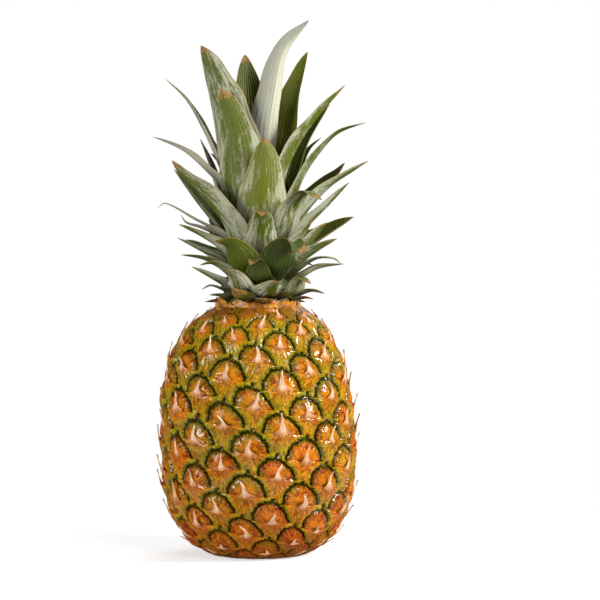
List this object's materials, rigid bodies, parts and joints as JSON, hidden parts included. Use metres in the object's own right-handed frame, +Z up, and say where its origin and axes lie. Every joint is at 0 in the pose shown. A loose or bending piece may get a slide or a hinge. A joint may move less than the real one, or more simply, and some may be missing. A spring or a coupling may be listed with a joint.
{
  "type": "whole pineapple",
  "caption": "Whole fresh pineapple standing on its base, with a spiral of knobbly eyes, dry bract tips and an upright leafy crown.",
  "frame": {"origin": "middle of the flat base that it stands on", "axes": "+Z up through the crown, front faces -Y, +X to the right of the front"},
  "size_m": [0.1275, 0.1213, 0.316],
  "materials": {
    "pineapple_skin": "waxy, orange with green grooves",
    "crown_leaf": "waxy green with a silvery bloom",
    "cut_stalk": "dry cut fibres"
  },
  "bodies": {
    "root": {"fruit": "pineapple_skin", "crown": "crown_leaf", "stalk": "cut_stalk"}
  },
  "joints": []
}
